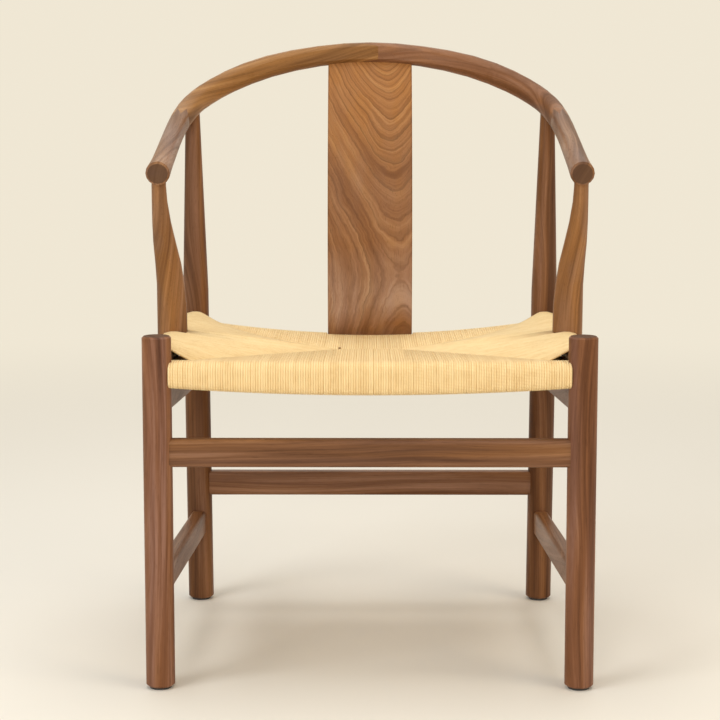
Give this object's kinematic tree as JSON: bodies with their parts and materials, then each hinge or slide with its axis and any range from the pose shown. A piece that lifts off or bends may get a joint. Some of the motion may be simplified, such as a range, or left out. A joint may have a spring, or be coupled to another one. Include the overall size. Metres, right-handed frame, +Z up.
{
  "type": "armchair",
  "caption": "Horseshoe back armchair in oiled walnut: round legs, curved back rail over a wide bent splat, curved arm posts and a woven paper cord seat.",
  "frame": {"origin": "on the floor, under the middle of the chair's overall width and depth", "axes": "+Z up, +Y to the chair's back, +X to the viewer's right seen from the front"},
  "size_m": [0.564, 0.519, 0.8008],
  "materials": {
    "walnut_legs": "oiled",
    "walnut_stretchers": "oiled",
    "walnut_seat_rails": "oiled",
    "walnut_arms": "oiled",
    "walnut_crest": "oiled",
    "walnut_arm_posts": "oiled",
    "walnut_splat": "oiled, figured",
    "paper_cord": "twisted paper cord, natural",
    "glide_plastic": "matte"
  },
  "bodies": {
    "root": {"front_leg_left": "walnut_legs", "front_leg_right": "walnut_legs", "back_leg_left": "walnut_legs", "back_leg_right": "walnut_legs", "front_stretcher": "walnut_stretchers", "back_stretcher": "walnut_stretchers", "low_side_stretcher_left": "walnut_stretchers", "low_side_stretcher_right": "walnut_stretchers", "high_side_stretcher_left": "walnut_stretchers", "high_side_stretcher_right": "walnut_stretchers", "front_seat_rail": "walnut_seat_rails", "back_seat_rail": "walnut_seat_rails", "side_seat_rail_left": "walnut_seat_rails", "side_seat_rail_right": "walnut_seat_rails", "arm_left": "walnut_arms", "arm_right": "walnut_arms", "crest_left": "walnut_crest", "crest_right": "walnut_crest", "arm_post_left": "walnut_arm_posts", "arm_post_right": "walnut_arm_posts", "back_splat": "walnut_splat", "woven_seat": "paper_cord", "glide_front_left": "glide_plastic", "glide_front_right": "glide_plastic", "glide_back_left": "glide_plastic", "glide_back_right": "glide_plastic"}
  },
  "joints": []
}
